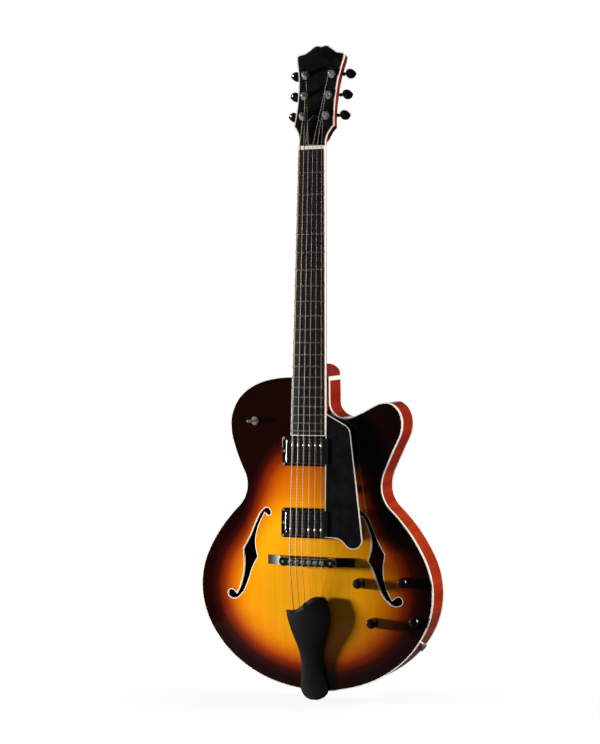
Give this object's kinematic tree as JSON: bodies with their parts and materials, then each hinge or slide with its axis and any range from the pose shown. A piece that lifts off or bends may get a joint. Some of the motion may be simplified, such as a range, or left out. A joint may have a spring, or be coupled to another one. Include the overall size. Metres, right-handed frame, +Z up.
{
  "type": "archtop electric guitar",
  "caption": "Hollow-body archtop electric guitar with a rounded cutaway, f-holes, a sunburst carved top, covered pickups, a floating bridge and a carved ebony tailpiece.",
  "frame": {"origin": "on the tail rim at the centreline, mid depth, where the end screw enters", "axes": "+Z up along the body towards the neck, -Y out of the front, +X to the treble side"},
  "size_m": [0.386, 0.1053, 1.0088],
  "materials": {
    "top_wood": "gloss sunburst lacquer over carved spruce",
    "back_wood": "gloss red-brown lacquer over maple",
    "neck_wood": "gloss red-brown lacquer",
    "inner_wood": "bare wood",
    "cream": "gloss",
    "black_line": "gloss",
    "ebony": "oiled satin",
    "black_gloss": "gloss",
    "bone": "polished",
    "nickel": "polished nickel",
    "black_nickel": "polished black nickel",
    "string_steel": "drawn wire",
    "bare_steel": "bare",
    "coil_wire": "enamelled winding",
    "lead": "matt"
  },
  "bodies": {
    "guitar": {"back_plate": "back_wood", "body_bindings": "cream", "bridge_base": "ebony", "bridge_posts": "nickel", "end_blocks": "inner_wood", "f_hole_bindings": "cream", "fretboard": "ebony", "frets": "nickel", "headplate": "black_gloss", "linings": "inner_wood", "neck": "neck_wood", "neck_bindings": "cream", "nut": "bone", "output_jack": "nickel", "pickguard": "black_gloss", "pickguard_binding": "cream", "pickguard_blocks": "ebony", "pickup_bases": "bare_steel", "pickup_coils": "coil_wire", "pickup_covers": "black_nickel", "pickup_pole_screws": "nickel", "pickup_rings": "black_gloss", "pickup_screws": "nickel", "potentiometers": "bare_steel", "purfling": "black_line", "rim": "back_wood", "strings": "string_steel", "tail_screw": "nickel", "tailpiece": "ebony", "toggle_switch": "nickel", "tone_bars": "inner_wood", "top_plate": "top_wood", "truss_rod": "bare_steel", "truss_rod_cover": "black_gloss", "tuner_bushings": "nickel", "tuner_housings": "nickel", "tuner_screws": "nickel", "wiring": "lead"},
    "key_1": {"tuner_key_1": "black_gloss"},
    "post_1": {"tuner_post_1": "nickel"},
    "key_2": {"tuner_key_2": "black_gloss"},
    "post_2": {"tuner_post_2": "nickel"},
    "key_3": {"tuner_key_3": "black_gloss"},
    "post_3": {"tuner_post_3": "nickel"},
    "key_4": {"tuner_key_4": "black_gloss"},
    "post_4": {"tuner_post_4": "nickel"},
    "key_5": {"tuner_key_5": "black_gloss"},
    "post_5": {"tuner_post_5": "nickel"},
    "key_6": {"tuner_key_6": "black_gloss"},
    "post_6": {"tuner_post_6": "nickel"},
    "knob_1": {"knob_1": "black_gloss"},
    "knob_2": {"knob_2": "black_gloss"},
    "knob_3": {"knob_3": "black_gloss"},
    "knob_4": {"knob_4": "black_gloss"},
    "lever": {"switch_lever": "nickel"},
    "bridge": {"bridge_bar": "black_nickel", "saddles": "nickel", "saddle_screws": "nickel"},
    "wheel_bass": {"thumbwheel_bass": "nickel"},
    "wheel_treble": {"thumbwheel_treble": "nickel"}
  },
  "joints": [
    {"name": "tuner_key_1_turn", "type": "hinge", "parent": "guitar", "child": "key_1", "pos_m": [-0.0292, 0.01838, 0.88546], "axis": [-1, 0, 0], "continuous": true},
    {"name": "tuner_key_2_turn", "type": "hinge", "parent": "guitar", "child": "key_2", "pos_m": [-0.03, 0.02741, 0.91772], "axis": [-1, 0, 0], "continuous": true},
    {"name": "tuner_key_3_turn", "type": "hinge", "parent": "guitar", "child": "key_3", "pos_m": [-0.0321, 0.03656, 0.95037], "axis": [-1, 0, 0], "continuous": true},
    {"name": "tuner_key_4_turn", "type": "hinge", "parent": "guitar", "child": "key_4", "pos_m": [0.0321, 0.03656, 0.95037], "axis": [1, 0, 0], "continuous": true},
    {"name": "tuner_key_5_turn", "type": "hinge", "parent": "guitar", "child": "key_5", "pos_m": [0.03, 0.02741, 0.91772], "axis": [1, 0, 0], "continuous": true},
    {"name": "tuner_key_6_turn", "type": "hinge", "parent": "guitar", "child": "key_6", "pos_m": [0.0292, 0.01838, 0.88546], "axis": [1, 0, 0], "continuous": true},
    {"name": "tuner_post_1_turn", "type": "hinge", "parent": "guitar", "child": "post_1", "pos_m": [-0.0192, -0.001, 0.88414], "axis": [0, -0.9629, 0.2698], "continuous": true},
    {"name": "tuner_post_2_turn", "type": "hinge", "parent": "guitar", "child": "post_2", "pos_m": [-0.02, 0.00804, 0.9164], "axis": [0, -0.9629, 0.2698], "continuous": true},
    {"name": "tuner_post_3_turn", "type": "hinge", "parent": "guitar", "child": "post_3", "pos_m": [-0.0221, 0.01718, 0.94904], "axis": [0, -0.9629, 0.2698], "continuous": true},
    {"name": "tuner_post_4_turn", "type": "hinge", "parent": "guitar", "child": "post_4", "pos_m": [0.0221, 0.01718, 0.94904], "axis": [0, -0.9629, 0.2698], "continuous": true},
    {"name": "tuner_post_5_turn", "type": "hinge", "parent": "guitar", "child": "post_5", "pos_m": [0.02, 0.00804, 0.9164], "axis": [0, -0.9629, 0.2698], "continuous": true},
    {"name": "tuner_post_6_turn", "type": "hinge", "parent": "guitar", "child": "post_6", "pos_m": [0.0192, -0.001, 0.88414], "axis": [0, -0.9629, 0.2698], "continuous": true},
    {"name": "knob_1_turn", "type": "hinge", "parent": "guitar", "child": "knob_1", "pos_m": [0.08, -0.03615, 0.172], "axis": [0, -1, 0], "range_deg": [-150, 150]},
    {"name": "knob_2_turn", "type": "hinge", "parent": "guitar", "child": "knob_2", "pos_m": [0.149, -0.02844, 0.175], "axis": [0, -1, 0], "range_deg": [-150, 150]},
    {"name": "knob_3_turn", "type": "hinge", "parent": "guitar", "child": "knob_3", "pos_m": [0.1, -0.03298, 0.112], "axis": [0, -1, 0], "range_deg": [-150, 150]},
    {"name": "knob_4_turn", "type": "hinge", "parent": "guitar", "child": "knob_4", "pos_m": [0.166, -0.02655, 0.116], "axis": [0, -1, 0], "range_deg": [-150, 150]},
    {"name": "switch_toggle", "type": "hinge", "parent": "guitar", "child": "lever", "pos_m": [-0.095, -0.02974, 0.416], "axis": [0, 0, 1], "range_deg": [0, 40]},
    {"name": "bridge_height", "type": "slide", "parent": "guitar", "child": "bridge", "axis": [0, -1, 0], "range_m": [-0.0025, 0.004], "deforming": ["strings"]},
    {"name": "thumbwheel_bass_turn", "type": "hinge", "parent": "bridge", "child": "wheel_bass", "pos_m": [-0.039, -0.049, 0.2025], "axis": [0, -1, 0], "range_deg": [-1290, 2060]},
    {"name": "thumbwheel_treble_turn", "type": "hinge", "parent": "bridge", "child": "wheel_treble", "pos_m": [0.039, -0.049, 0.2025], "axis": [0, -1, 0], "range_deg": [-1290, 2060]}
  ],
  "couplings": [
    {"joint": "tuner_post_1_turn", "follows": "tuner_key_1_turn", "ratio": 0.0625},
    {"joint": "tuner_post_2_turn", "follows": "tuner_key_2_turn", "ratio": 0.0625},
    {"joint": "tuner_post_3_turn", "follows": "tuner_key_3_turn", "ratio": 0.0625},
    {"joint": "tuner_post_4_turn", "follows": "tuner_key_4_turn", "ratio": 0.0625},
    {"joint": "tuner_post_5_turn", "follows": "tuner_key_5_turn", "ratio": 0.0625},
    {"joint": "tuner_post_6_turn", "follows": "tuner_key_6_turn", "ratio": 0.0625},
    {"joint": "thumbwheel_bass_turn", "follows": "bridge_height", "rad_per_m": 8976},
    {"joint": "thumbwheel_treble_turn", "follows": "bridge_height", "rad_per_m": 8976}
  ]
}
